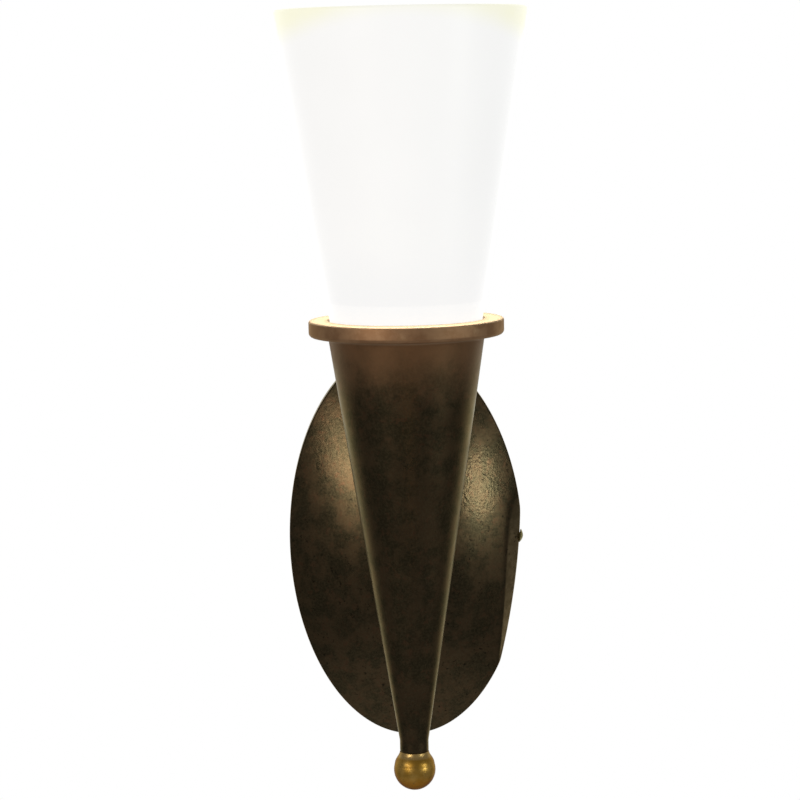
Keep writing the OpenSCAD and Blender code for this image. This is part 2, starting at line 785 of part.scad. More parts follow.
module wire_connectors() {
    color("#d8742a") for (x = [black_x, white_x, ground_lead_x])
        translate([x, -connector_depth, connector_mouth]) difference() {
            rotate_extrude() polygon([
                [0, 0], [connector_r, 0], [connector_r, -connector_rim],
                [connector_r * 0.86, -connector_rim - connector_neck],
                [connector_r * 0.6, connector_nose - connector_len],
                [connector_r * 0.45, -connector_len], [0, -connector_len]]);
            translate([0, 0, -connector_bore])
                cylinder(r = lead_r + connector_gap, h = connector_bore + over);
        }
}

mounting_bracket();
locating_stud();
ground_screw();
backplate();
side_screw();
arm_tube();
arm_nipple();
arm_nut();
arm_washer();
nipple_bushing();
cone_boss();
torch_cone();
ball_finial();
centre_pipe();
cup_nut();
holder_cup();
holder_cap();
holder_set_screw();
holder_shell();
holder_liner();
holder_core();
holder_screw_shell();
holder_contact();
terminal_screws();
lead_black();
lead_white();
lead_ground();
wire_connectors();
lamp_base();
lamp_insulator();
lamp_contact();
lamp_stem();
lamp_filament();
lamp_bulb();
shade_gasket();
glass_shade();
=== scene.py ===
from math import atan, cos, pi, radians, sin

import bmesh
import bpy
import numpy as np
from mathutils import Matrix, Vector


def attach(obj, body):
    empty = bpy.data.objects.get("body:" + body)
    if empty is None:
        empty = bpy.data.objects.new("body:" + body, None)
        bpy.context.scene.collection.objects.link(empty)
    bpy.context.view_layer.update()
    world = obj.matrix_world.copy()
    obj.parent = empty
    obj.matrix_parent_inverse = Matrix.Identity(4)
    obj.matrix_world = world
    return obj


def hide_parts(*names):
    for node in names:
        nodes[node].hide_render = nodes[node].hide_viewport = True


# The torch sconce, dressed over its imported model. Metres in the scene; shapes are drawn in millimetres and
# brought to metres as they go into their mesh. The wall is y = 0, +X is the viewer's right, +Z is up.

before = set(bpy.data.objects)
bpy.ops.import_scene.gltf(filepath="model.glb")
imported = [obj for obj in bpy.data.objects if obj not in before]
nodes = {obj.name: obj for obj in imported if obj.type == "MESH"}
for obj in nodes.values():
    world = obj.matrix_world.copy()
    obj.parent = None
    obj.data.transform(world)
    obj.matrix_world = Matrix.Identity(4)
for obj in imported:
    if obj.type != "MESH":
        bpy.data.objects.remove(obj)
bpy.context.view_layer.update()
scene = bpy.context.scene
MM = 0.001
TORCH_DEPTH = 78.0                         # from the wall to the torch's axis, in mm
TORCH = np.array([0.0, -TORCH_DEPTH, 0.0])
SAME_SPOT, NO_LENGTH = 1e-7, 1e-8          # in metres

# ---------------------------------------------------------------- camera

PICTURE = 800
SENSOR = 36.0
FOCAL_PIXELS = 2750.0
EYE = np.array([-37.5, -1411.1, 239.1])
EYE_YAW, EYE_PITCH, EYE_ROLL = radians(1.45), radians(-6.71), radians(-1.12)


def stand_camera():
    """Puts the camera at EYE. It looks along +Y turned by the yaw and tipped by the pitch, then rolls."""
    ahead = Vector((sin(EYE_YAW) * cos(EYE_PITCH), cos(EYE_YAW) * cos(EYE_PITCH), sin(EYE_PITCH)))
    level = Vector((cos(EYE_YAW), -sin(EYE_YAW), 0))
    above = level.cross(ahead)
    across = cos(EYE_ROLL) * level + sin(EYE_ROLL) * above
    up = -sin(EYE_ROLL) * level + cos(EYE_ROLL) * above
    lens = bpy.data.cameras.new("sconce_view")
    lens.sensor_width = SENSOR
    lens.lens = SENSOR * FOCAL_PIXELS / PICTURE
    lens.clip_start = 0.01
    camera = bpy.data.objects.new("sconce_view", lens)
    turn = Matrix((across, up, -ahead)).transposed().to_4x4()
    camera.matrix_world = Matrix.Translation(Vector(EYE * MM)) @ turn
    scene.collection.objects.link(camera)
    scene.camera = camera


stand_camera()

# ---------------------------------------------------------------- meshes


def outward(rows, closed_rows):
    """Points and faces of a grid (rows x columns x 3, in mm), with the faces outwards.

    Each cell of the grid becomes a face, the last column meets the first, and the last row meets the first
    where closed_rows says so. The sign of the volume, a sixth of the sum of the triple products of the fan
    triangles, tells which way the faces look.
    """
    count, around = rows.shape[:2]
    spots = np.arange(count * around).reshape(count, around)
    low = spots if closed_rows else spots[:-1]
    high = np.roll(spots, -1, 0) if closed_rows else spots[1:]
    faces = np.stack([low, np.roll(low, -1, 1), np.roll(high, -1, 1), high], -1).reshape(-1, 4)
    flat = rows.reshape(-1, 3) * MM
    a, b, c, d = (flat[faces[:, k]] for k in range(4))
    volume = np.einsum("ij,ij->", a, np.cross(b, c)) + np.einsum("ij,ij->", a, np.cross(c, d))
    return flat, faces[:, ::-1] if volume < 0 else faces


def shell(name, grids, body, stands_for=(), closed_rows=False, crease=35, mark=None):
    """One piece from one grid of points or a list of them.

    Points that fall together are merged. mark is a name and a number for each point, kept on the mesh for its
    finish to read.
    """
    grids = grids if isinstance(grids, list) else [grids]
    made = [outward(rows, closed_rows) for rows in grids]
    starts = np.cumsum([0] + [len(flat) for flat, _ in made])
    mesh = bpy.data.meshes.new(name)
    mesh.from_pydata(np.concatenate([flat for flat, _ in made]).tolist(), [],
                     np.concatenate([faces + start for (_, faces), start in zip(made, starts)]).tolist())
    if mark:
        mesh.attributes.new(mark[0], "FLOAT", "POINT").data.foreach_set("value", mark[1].ravel())
    work = bmesh.new()
    work.from_mesh(mesh)
    bmesh.ops.remove_doubles(work, verts=work.verts, dist=SAME_SPOT)
    bmesh.ops.dissolve_degenerate(work, dist=NO_LENGTH, edges=work.edges)
    work.to_mesh(mesh)
    work.free()
    mesh.polygons.foreach_set("use_smooth", np.ones(len(mesh.polygons), dtype=bool))
    mesh.set_sharp_from_angle(angle=radians(crease))
    piece = bpy.data.objects.new(name, mesh)
    scene.collection.objects.link(piece)
    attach(piece, body)
    if stands_for:
        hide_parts(*stands_for)
    return piece


def bow(middle, radius, start, end, steps=12):
    """Points (r, z) of an arc about middle, from the angle start to the angle end, in degrees."""
    turn = np.radians(np.linspace(start, end, steps + 1))
    return np.stack([middle[0] + radius * np.cos(turn), middle[1] + radius * np.sin(turn)], -1)


def outline(*parts):
    """Joins points and arcs into one profile (r, z)."""
    return np.concatenate([np.atleast_2d(np.asarray(p, dtype=float)) for p in parts])


def stepped(start, end, steps):
    """Evenly spaced points on a straight line between two profile points."""
    return np.linspace(start, end, steps + 1)


def turned(profile, around=192, ripple=None):
    """Carries a profile (r, z) round the torch's axis: x = r cos t, y = r sin t, with z kept.

    ripple, if there is one, gives a factor on r for each profile point and angle.
    """
    t = np.linspace(0, 2 * pi, around, endpoint=False)
    r = np.repeat(profile[:, :1], around, 1)
    if ripple is not None:
        r = r * ripple(profile, t)
    z = np.repeat(profile[:, 1:2], around, 1)
    return np.stack([r * np.cos(t), r * np.sin(t), z], -1)


def curve_through(points, steps):
    """A smooth path through points. Between b and c, with a before and d after, it is half of
    2 b + (c - a) t + (2 a - 5 b + 4 c - d) t^2 + (3 b - a - 3 c + d) t^3; the end points count twice."""
    p = np.asarray(points, dtype=float)
    held = np.concatenate([p[:1], p, p[-1:]])
    a, b, c, d = held[:-3], held[1:-2], held[2:-1], held[3:]
    t = (np.arange(steps) / steps)[:, None, None]
    spans = (2 * b + (c - a) * t + (2 * a - 5 * b + 4 * c - d) * t ** 2
             + (3 * b - a - 3 * c + d) * t ** 3) / 2
    return np.concatenate([spans.transpose(1, 0, 2).reshape(-1, p.shape[1]), p[-1:]])


def tube_along(path, radius, around=14):
    """Rings square to a path, closed at both ends. Each ring's first side is the path's direction crossed
    with (1, 1, 1), which no stretch of a lead runs along."""
    ahead = np.gradient(path, axis=0)
    ahead /= np.linalg.norm(ahead, axis=1, keepdims=True)
    side = np.cross(ahead, (1.0, 1.0, 1.0))
    side /= np.linalg.norm(side, axis=1, keepdims=True)
    up = np.cross(ahead, side)
    t = np.linspace(0, 2 * pi, around, endpoint=False)[None, :, None]
    rings = path[:, None] + radius * (np.cos(t) * side[:, None] + np.sin(t) * up[:, None])
    first, last = (np.repeat(path[k][None, None], around, 1) for k in (0, -1))
    return np.concatenate([first, rings, last])


# ---------------------------------------------------------------- finishes

EDGE_TINT = (0.90, 0.83, 0.62, 1.0)        # what the bronze mirrors at a glancing angle
GLASS_GLOW = 0.705                         # strength of the opal glass's own light
PIPE_PITCH = 0.00141                       # of the pipes' thread, in metres

# Sockets of a Mix node: the share, the two numbers, the two colours, and the mixed colour.
MIX_SHARE, MIX_NUMBERS, MIX_COLOURS, MIX_COLOUR_OUT = 0, (2, 3), (6, 7), 2


def set_span(node, *numbers):
    """Sets what a Map Range node maps: from low, from high, to low, to high."""
    for socket, number in zip(("From Min", "From Max", "To Min", "To Max"), numbers):
        node.inputs[socket].default_value = number


class Finish:
    """A material built from nodes on Object coordinates, in metres."""

    def __init__(self, name, metal, rough, **sockets):
        self.mat = bpy.data.materials.new(name)
        self.mat.use_nodes = True
        self.tree = self.mat.node_tree
        self.shader = self.tree.nodes["Principled BSDF"]
        self.shader.inputs["Metallic"].default_value = metal
        self.shader.inputs["Roughness"].default_value = rough
        for socket, value in sockets.items():
            self.shader.inputs[socket.replace("_", " ")].default_value = value
        self.place = self.node("ShaderNodeTexCoord").outputs["Object"]

    def node(self, kind, **settings):
        """A new node, with its sockets and properties set by name."""
        made = self.tree.nodes.new(kind)
        for key, value in settings.items():
            if key in made.inputs:
                made.inputs[key].default_value = value
            else:
                setattr(made, key, value)
        return made

    def join(self, source, target):
        self.tree.links.new(source, target)

    def shifted(self, at=(0, 0, 0), size=(1, 1, 1)):
        """Object coordinates about a place, stretched by size."""
        move = self.node("ShaderNodeMapping", vector_type="TEXTURE", Location=at, Scale=size)
        self.join(self.place, move.inputs["Vector"])
        return move.outputs["Vector"]

    def cloud(self, scale, detail=4.0, rough=0.55, where=None):
        """Soft noise about a half."""
        made = self.node("ShaderNodeTexNoise", Scale=scale, Detail=detail, Roughness=rough)
        self.join(where or self.place, made.inputs["Vector"])
        return made.outputs["Fac"]

    def span(self, value, low, high, to_low=0.0, to_high=1.0):
        """Maps low..high to to_low..to_high, eased at both ends and held beyond them."""
        made = self.node("ShaderNodeMapRange", interpolation_type="SMOOTHSTEP")
        set_span(made, low, high, to_low, to_high)
        self.join(value, made.inputs["Value"])
        return made.outputs["Result"]

    def math(self, how, *values):
        """One step of arithmetic on plain numbers and sockets."""
        made = self.node("ShaderNodeMath", operation=how)
        for target, value in zip(made.inputs, values):
            if isinstance(value, (int, float)):
                target.default_value = value
            else:
                self.join(value, target)
        return made.outputs[0]

    def tint(self, share, first, second):
        """A colour between two, each a plain colour or a socket."""
        made = self.node("ShaderNodeMix", data_type="RGBA")
        self.join(share, made.inputs[MIX_SHARE])
        for socket, value in zip(MIX_COLOURS, (first, second)):
            if isinstance(value, tuple):
                made.inputs[socket].default_value = (*value, 1.0)
            else:
                self.join(value, made.inputs[socket])
        return made.outputs[MIX_COLOUR_OUT]

    def patch(self, at, size):
        """A soft round patch: 1 in its middle, 0 at size away from it."""
        made = self.node("ShaderNodeTexGradient", gradient_type="SPHERICAL")
        self.join(self.shifted(at, size), made.inputs["Vector"])
        return made.outputs["Fac"]

    def mark(self, name):
        """A number kept on the piece's points."""
        return self.node("ShaderNodeAttribute", attribute_name=name).outputs["Fac"]

    def part(self, which):
        """The x, y or z of Object coordinates, as a socket."""
        made = self.node("ShaderNodeSeparateXYZ")
        self.join(self.place, made.inputs[0])
        return made.outputs[which.upper()]

    def off_axis(self):
        """Distance from the torch's axis, in metres: sqrt(x^2 + (y + the axis's depth)^2)."""
        depth = self.math("ADD", self.part("y"), TORCH_DEPTH * MM)
        across = self.part("x")
        return self.math("SQRT", self.math("ADD", self.math("MULTIPLY", across, across),
                                           self.math("MULTIPLY", depth, depth)))

    def colour(self, source):
        self.join(source, self.shader.inputs["Base Color"])

    def roughness(self, source):
        self.join(source, self.shader.inputs["Roughness"])

    def relief(self, height, depth, strength=1.0):
        """Bumps of that depth in metres, one after the other."""
        made = self.node("ShaderNodeBump", Strength=strength, Distance=depth)
        self.join(height, made.inputs["Height"])
        if self.shader.inputs["Normal"].is_linked:
            self.join(self.shader.inputs["Normal"].links[0].from_socket, made.inputs["Normal"])
        self.join(made.outputs["Normal"], self.shader.inputs["Normal"])

    def lay_on(self, *pieces):
        for piece in pieces:
            piece.data.materials.clear()
            piece.data.materials.append(self.mat)


def mottled(f):
    """The patina's colour: olive-black ground, rust-brown patches, a few redder ones, and a fine lighter
    grain."""
    olive_black, rust_brown = (0.060, 0.048, 0.026), (0.114, 0.075, 0.040)
    redder, lighter = (0.150, 0.078, 0.042), (0.138, 0.106, 0.058)
    patches = f.span(f.cloud(95, 7, 0.70), 0.42, 0.60)
    brown = f.tint(patches, olive_black, rust_brown)
    rust = f.span(f.cloud(230, 5, 0.68, f.shifted(at=(0.3, 0.1, 0.2))), 0.54, 0.66)
    brown = f.tint(f.math("MULTIPLY", rust, 0.6), brown, redder)
    grain = f.span(f.cloud(900, 4, 0.72), 0.40, 0.64)
    return f.tint(f.math("MULTIPLY", grain, 0.5), brown, lighter)


def cone_bronze():
    """Dark oiled bronze: mottled patina, its edge worn through to brass, with painted lamp light: a warmer,
    browner band under the flange, a paler flange side, and a pale flange top and inner lip.

    Named spans are in metres: heights, and distances from the axis for the lip and the edge.
    """
    glow_heights, flange_side, flange_top = (0.077, 0.119), (0.1125, 0.1165), (0.1209, 0.12195)
    lip, lip_side, edge, edge_side = (0.0402, 0.0410), (0.112, 0.116), (0.0450, 0.0472), (0.1150, 0.1175)
    glow_brown, straw = (0.200, 0.098, 0.045), (0.50, 0.305, 0.175)
    pale_brown, paler_tone = (0.66, 0.53, 0.38), (0.62, 0.43, 0.26)
    f = Finish("cone_bronze", 1.0, 0.3, Specular_Tint=EDGE_TINT)
    height, off_axis = f.part("z"), f.off_axis()
    # Painted lamp glow: the cone warmer and browner for a band below the flange, with uneven edges.
    uneven = f.math("MULTIPLY", f.math("SUBTRACT", f.cloud(75, 5, 0.65), 0.5), 0.030)
    painted_glow = f.span(f.math("ADD", height, uneven), *glow_heights)
    brown = f.tint(f.math("MULTIPLY", painted_glow, 0.9), mottled(f), glow_brown)
    flange = f.span(height, *flange_side)
    # Less metallic in the band below the flange, so the painted glow shows as diffuse colour.
    glow_below_flange = f.math("MULTIPLY", painted_glow, f.math("SUBTRACT", 1.0, flange))
    f.join(f.math("SUBTRACT", 1.0, f.math("MULTIPLY", glow_below_flange, 0.5)), f.shader.inputs["Metallic"])
    # The flange's side: mottled, and lighter towards straw as painted light from the lit glass.
    flange_tone_and_light = f.tint(f.span(f.cloud(120, 5, 0.6), 0.38, 0.64), (0.39, 0.22, 0.12), straw)
    brown = f.tint(f.math("MULTIPLY", flange, 0.9), brown, flange_tone_and_light)
    # Painted lamp light: the flange's top and the lip inside the mouth turned pale.
    inside = f.math("MULTIPLY", f.span(off_axis, *lip, 1.0, 0.0), f.span(height, *lip_side))
    painted_lamp_light = f.math("MAXIMUM", f.span(height, *flange_top), inside)
    brown = f.tint(f.math("MULTIPLY", painted_lamp_light, 0.85), brown, pale_brown)
    rim = f.math("MULTIPLY", f.span(off_axis, *edge), f.span(height, *edge_side))
    worn = f.math("MULTIPLY", rim, f.span(f.cloud(95, 5, 0.6), 0.57, 0.68))
    f.colour(f.tint(f.math("MULTIPLY", worn, 0.45), brown, paler_tone))
    dull = f.math("ADD", f.math("MULTIPLY", flange, 0.06), f.math("MULTIPLY", painted_glow, 0.20))
    f.roughness(f.math("ADD", f.span(f.cloud(60, 4), 0.3, 0.7, 0.27, 0.35), dull))
    f.relief(f.cloud(1.0, 3, 0.6, f.shifted(size=(0.05, 0.05, 0.0006))), 0.00001, 0.4)
    f.relief(f.cloud(900, 3), 0.00003, 0.3)
    return f


def plate_bronze():
    """The same patina, pitted, with two soft-edged scaly patches. The pressed side flat is painted paler
    below its upper end, a painted reflection, and darker at its upper end and along its crease, painted
    shade."""
    right_patch = (0.036, -0.022, 0.030), (0.017, 0.1, 0.026)
    left_patch = (-0.040, -0.018, 0.056), (0.018, 0.1, 0.034)
    shade_colour, pit_floor = (0.036, 0.034, 0.022), (0.020, 0.016, 0.010)
    f = Finish("plate_bronze", 1.0, 0.3, Specular_Tint=EDGE_TINT)
    pressed = f.mark("pressed")
    low = f.span(f.part("z"), 0.000, 0.014, 1.0, 0.6)
    flat = f.span(pressed, 0.25, 0.9)
    # Painted reflection: the pressed flat paler below its upper end.
    paler_tone = f.tint(f.span(f.cloud(260, 5, 0.65), 0.38, 0.64), (0.26, 0.190, 0.100), (0.40, 0.300, 0.168))
    brown = f.tint(f.math("MULTIPLY", f.math("MULTIPLY", flat, low), 0.85), mottled(f), paler_tone)
    # Painted shade: darker along the flat's crease and at its upper end.
    crease = f.math("MULTIPLY", f.span(pressed, -1.6, -0.1), f.span(pressed, 0.1, 0.7, 1.0, 0.0))
    top_end = f.math("MULTIPLY", flat, f.math("SUBTRACT", 1.0, low))
    painted_shade = f.math("MAXIMUM", f.math("MULTIPLY", crease, 0.12), f.math("MULTIPLY", top_end, 0.1))
    brown = f.tint(painted_shade, brown, shade_colour)
    scaly = f.math("MAXIMUM", f.span(f.patch(*right_patch), 0.0, 0.7),
                   f.span(f.patch(*left_patch), 0.0, 0.9, 0.0, 0.45))
    pits = f.math("MULTIPLY", f.span(f.cloud(560, 3, 0.6), 0.60, 0.67), f.span(f.cloud(75, 4), 0.44, 0.56))
    f.colour(f.tint(f.math("MULTIPLY", pits, 0.8), brown, pit_floor))
    f.roughness(f.math("SUBTRACT", f.span(f.cloud(48, 5), 0.3, 0.7, 0.26, 0.33),
                       f.math("MULTIPLY", scaly, 0.06)))
    f.relief(pits, 0.00022, -0.9)
    scales = f.math("SUBTRACT", f.cloud(640, 2, 0.5), 0.5)
    f.relief(f.math("MULTIPLY", scales, scaly), 0.00018, 0.8)
    f.relief(f.cloud(620, 3, 0.5), 0.00006, 0.5)
    return f


def arm_bronze():
    """The same patina without wear, for the arm in the cone's shade."""
    f = Finish("arm_bronze", 1.0, 0.4, Specular_Tint=EDGE_TINT)
    f.colour(mottled(f))
    f.roughness(f.span(f.cloud(80, 4), 0.3, 0.7, 0.36, 0.5))
    f.relief(f.cloud(800, 3), 0.00003, 0.3)
    return f


def aged_brass():
    """Brass toned between two browns and olive in small specks, with a deeper orange-brown towards the
    bottom, a painted reflection, and a paler neck, a painted highlight.
    """
    underside, neck = (-0.1085, -0.1030), (-0.0962, -0.0950)
    f = Finish("aged_brass", 0.88, 0.3, Specular_Tint=(0.26, 0.21, 0.11, 1.0), Coat_Weight=0.2,
               Coat_Roughness=0.24)
    height = f.part("z")
    tone_and_reflection = f.tint(f.span(f.cloud(170, 5), 0.35, 0.68), (0.48, 0.260, 0.035), (0.66, 0.40, 0.095))
    # Painted reflection: deeper orange-brown towards the bottom, for what the ball mirrors below.
    tone_and_reflection = f.tint(f.span(height, *underside, 0.8, 0.0), tone_and_reflection, (0.42, 0.160, 0.008))
    specks = f.math("MULTIPLY", f.span(f.cloud(520, 4, 0.6), 0.56, 0.74), 0.6)
    tone_and_reflection = f.tint(specks, tone_and_reflection, (0.20, 0.14, 0.04))
    # Painted highlight: the neck paler, where the lamps glint on the shoulder.
    f.colour(f.tint(f.math("MULTIPLY", f.span(height, *neck), 0.6), tone_and_reflection, (0.66, 0.48, 0.22)))
    f.roughness(f.span(f.cloud(240, 4), 0.3, 0.7, 0.33, 0.42))
    f.relief(f.cloud(900, 4), 0.00003, 0.35)
    return f


def screw_brass():
    """Dull green-brown brass of the side screw."""
    f = Finish("screw_brass", 0.7, 0.5)
    f.colour(f.tint(f.span(f.cloud(400, 4), 0.35, 0.68), (0.40, 0.34, 0.14), (0.58, 0.50, 0.23)))
    f.roughness(f.span(f.cloud(500, 3), 0.3, 0.7, 0.52, 0.64))
    f.relief(f.cloud(1500, 3), 0.00002, 0.3)
    return f


def plain_brass():
    """Machined brass with fine turning marks."""
    f = Finish("plain_brass", 1.0, 0.26)
    f.colour(f.tint(f.span(f.cloud(220, 4), 0.35, 0.65), (0.62, 0.45, 0.19), (0.76, 0.58, 0.29)))
    f.roughness(f.span(f.cloud(300, 3), 0.3, 0.7, 0.22, 0.36))
    f.relief(f.cloud(1.0, 2, 0.5, f.shifted(size=(0.02, 0.02, 0.0004))), 0.00001, 0.4)
    return f


def zinc_steel():
    """Bright zinc on steel: soft grey patches and a fine grain."""
    f = Finish("zinc_steel", 1.0, 0.34)
    f.colour(f.tint(f.span(f.cloud(150, 5), 0.35, 0.65), (0.52, 0.53, 0.55), (0.70, 0.71, 0.72)))
    f.roughness(f.span(f.cloud(260, 4), 0.3, 0.7, 0.28, 0.44))
    f.relief(f.cloud(1200, 3), 0.00002, 0.3)
    return f


def threaded_steel(name, along):
    """Zinc-plated pipe with a thread: ridges a pitch apart along one axis, as sin(2 pi s / pitch)."""
    f = Finish(name, 1.0, 0.34)
    f.colour(f.tint(f.span(f.cloud(200, 4), 0.35, 0.65), (0.50, 0.50, 0.50), (0.66, 0.66, 0.66)))
    f.roughness(f.span(f.cloud(300, 4), 0.3, 0.7, 0.3, 0.46))
    ridge = f.math("SINE", f.math("MULTIPLY", f.part(along), 2 * pi / PIPE_PITCH))
    f.relief(ridge, 0.00025, 0.9)
    return f


def green_steel():
    """Steel dyed green, in soft patches."""
    f = Finish("green_steel", 0.55, 0.38)
    f.colour(f.tint(f.span(f.cloud(500, 4), 0.35, 0.7), (0.03, 0.22, 0.08), (0.07, 0.33, 0.14)))
    f.relief(f.cloud(1500, 3), 0.00002, 0.3)
    return f


def cup_steel():
    """Drawn, plated steel of the cup, with faint drawing rings."""
    f = Finish("cup_steel", 1.0, 0.3)
    f.colour(f.tint(f.span(f.cloud(90, 4), 0.35, 0.65), (0.60, 0.60, 0.60), (0.76, 0.76, 0.75)))
    f.roughness(f.span(f.cloud(120, 4), 0.3, 0.7, 0.24, 0.42))
    f.relief(f.cloud(1.0, 2, 0.5, f.shifted(size=(0.04, 0.04, 0.0008))), 0.00001, 0.5)
    return f


def lamp_metal():
    """Rolled aluminium of the lamp's base."""
    f = Finish("lamp_metal", 1.0, 0.32)
    f.colour(f.tint(f.span(f.cloud(240, 4), 0.35, 0.65), (0.66, 0.66, 0.66), (0.80, 0.80, 0.79)))
    f.roughness(f.span(f.cloud(320, 3), 0.3, 0.7, 0.26, 0.42))
    return f


def solder():
    """Dull solder and tungsten."""
    f = Finish("solder", 1.0, 0.5)
    f.colour(f.tint(f.cloud(700, 4), (0.42, 0.42, 0.40), (0.60, 0.60, 0.57)))
    f.relief(f.cloud(1500, 3), 0.00005, 0.4)
    return f


def black_moulding():
    """Glossy black moulding of the holder's core and the lamp's insulator."""
    f = Finish("black_moulding", 0.0, 0.3)
    f.colour(f.tint(f.cloud(300, 3), (0.018, 0.017, 0.016), (0.035, 0.032, 0.030)))
    f.relief(f.cloud(1500, 2), 0.00001, 0.3)
    return f


def card_liner():
    """Pressed card with short fibres."""
    f = Finish("card_liner", 0.0, 0.9)
    fibres = f.cloud(1.0, 4, 0.6, f.shifted(size=(0.003, 0.003, 0.0006)))
    f.colour(f.tint(fibres, (0.42, 0.34, 0.22), (0.62, 0.53, 0.37)))
    f.relief(fibres, 0.00006, 0.5)
    return f


def soft_moulding(name, dark, light, rough=0.5, grain=900):
    """Satin moulded plastic, rubber or insulation with a fine grain."""
    f = Finish(name, 0.0, rough)
    f.colour(f.tint(f.span(f.cloud(grain / 3, 4), 0.3, 0.7), dark, light))
    f.roughness(f.span(f.cloud(grain / 2, 3), 0.3, 0.7, rough - 0.06, rough + 0.08))
    f.relief(f.cloud(grain, 3), 0.00003, 0.3)
    return f


def opal_glass():
    """Satin opal glass, lit from inside: even white, with a cream band below the fire-rounded rim, and a warm
    foot.
    The band is deeper at the sides, painted light for the rim seen edge-on there; it lies where z + 4.1 x^2,
    in metres, is in its span. The base colour is darker at the foot, painted shade against the warm lights
    there."""
    band, foot_span, seat = (0.2650, 0.2795), (0.130, 0.165), (0.104, 0.120)
    f = Finish("opal_glass", 0.0, 0.36, IOR=1.5, Specular_IOR_Level=0.2)
    height, across = f.part("z"), f.part("x")
    # The cream band deepens towards the sides: painted light, for the rim seen edge-on there.
    aside = f.math("MULTIPLY", f.math("MULTIPLY", across, across), 4.1)
    cream = f.math("MULTIPLY", f.span(f.math("ADD", height, aside), *band),
                   f.span(f.cloud(30, 3), 0.25, 0.7, 0.75, 1.0))
    foot = f.span(height, *foot_span, 1.0, 0.0)
    white = f.tint(f.span(f.cloud(24, 3), 0.3, 0.7), (0.40, 0.397, 0.394), (0.42, 0.418, 0.415))
    # Darker base colour at the foot: painted shade, offsetting the warm lights that fall on it.
    white = f.tint(foot, white, (0.10, 0.10, 0.10))
    f.colour(f.tint(cream, white, (0.42, 0.42, 0.35)))
    glow = f.tint(cream, (0.978, 0.976, 0.974), (0.980, 0.963, 0.75))
    glow = f.tint(f.span(height, *seat, 1.0, 0.0), glow, (0.95, 0.80, 0.55))
    f.join(glow, f.shader.inputs["Emission Color"])
    even = f.span(f.cloud(14, 3, 0.5), 0.3, 0.7, 0.995 * GLASS_GLOW, GLASS_GLOW)
    f.join(f.math("ADD", even, f.math("MULTIPLY", foot, 0.17)), f.shader.inputs["Emission Strength"])
    return f


def lamp_glass():
    """Frosted, lit glass of the lamp."""
    f = Finish("lamp_glass", 0.0, 0.4)
    f.colour(f.tint(f.cloud(60, 3), (0.46, 0.44, 0.40), (0.52, 0.50, 0.46)))
    f.join(f.tint(f.span(f.part("z"), 0.108, 0.165), (0.80, 0.56, 0.30), (1.0, 0.92, 0.74)),
           f.shader.inputs["Emission Color"])
    f.shader.inputs["Emission Strength"].default_value = 0.62
    return f


def stem_glass():
    """Clear glass of the lamp's stem, with faint streaks."""
    f = Finish("stem_glass", 0.0, 0.05, Transmission_Weight=0.9, IOR=1.5)
    streaks = f.cloud(1.0, 3, 0.5, f.shifted(size=(0.002, 0.002, 0.02)))
    f.colour(f.tint(streaks, (0.86, 0.9, 0.9), (0.95, 0.97, 0.97)))
    return f


# ---------------------------------------------------------------- torch

# Sizes of the cone. Its tip ends 0.8 mm higher than in the part's source, under a longer neck of the ball.
TIP_Z, TIP_R, TIP_LEN = -92.7, 7.1, 5.4
FLANGE_TOP, FLANGE_T, FLANGE_R = 122.0, 8.0, 47.6
MOUTH_R, CONE_WALL = 40.0, 1.6
CONE_SLOPE = (MOUTH_R - TIP_R) / (FLANGE_TOP - TIP_Z - TIP_LEN)
CONE_LEAN = atan(CONE_SLOPE)
WALL_FLAT = CONE_WALL / cos(CONE_LEAN)


def cone_out(z):
    """Outer radius of the cone at a height: the tip's radius and the slope times the height above it."""
    return TIP_R + CONE_SLOPE * (z - TIP_Z - TIP_LEN)


def drawn_in(profile):
    """Brings the taper in by up to half a millimetre towards the cove, where the spun wall is thinner."""
    from_z, over, deepest = -10, 118, 0.5
    share = np.clip((profile[:, 1] - from_z) / over, 0, 1) * (profile[:, 1] < FLANGE_TOP - FLANGE_T)
    return profile - np.stack([deepest * share, np.zeros_like(share)], -1)


def make_cone():
    """The spun cone: straight tip, taper, cove, flange with rounded edges, lip, and the taper inside."""
    cove_r, low_r, top_r, lip_r, edge, bore = 2.6, 2.2, 1.1, 0.35, 0.3, 4.9
    under = FLANGE_TOP - FLANGE_T
    cove_at = (cone_out(under - cove_r) + cove_r / cos(CONE_LEAN), under - cove_r)
    lean = np.degrees(CONE_LEAN)
    inside_top = cone_out(FLANGE_TOP) - WALL_FLAT
    bore_top = TIP_Z + TIP_LEN + (bore + WALL_FLAT - TIP_R) / CONE_SLOPE
    cove = bow(cove_at, cove_r, 180 - lean, 90, 16)
    taper_foot = TIP_Z + TIP_LEN + 0.5
    profile = outline(
        stepped((bore, TIP_Z), (TIP_R - edge, TIP_Z), 2), bow((TIP_R - edge, TIP_Z + edge), edge, -90, 0, 5),
        stepped((TIP_R, TIP_Z + 2 * edge), (TIP_R, TIP_Z + TIP_LEN - edge), 3),
        drawn_in(outline(stepped((cone_out(taper_foot), taper_foot), cove[0], 70)[:-1], cove[:-1])), cove[-1],
        bow((FLANGE_R - low_r, under + low_r), low_r, -90, 0, 16),
        bow((FLANGE_R - top_r, FLANGE_TOP - top_r), top_r, 0, 90, 10),
        bow((inside_top + lip_r, FLANGE_TOP - lip_r), lip_r, 90, 180, 6),
        stepped((inside_top, FLANGE_TOP - lip_r - 0.4), (bore, bore_top), 24),
        (bore, TIP_Z + 0.4))
    return shell("spun_cone", turned(profile, 256) + TORCH, "fixture", ["torch_cone"],
                 closed_rows=True)


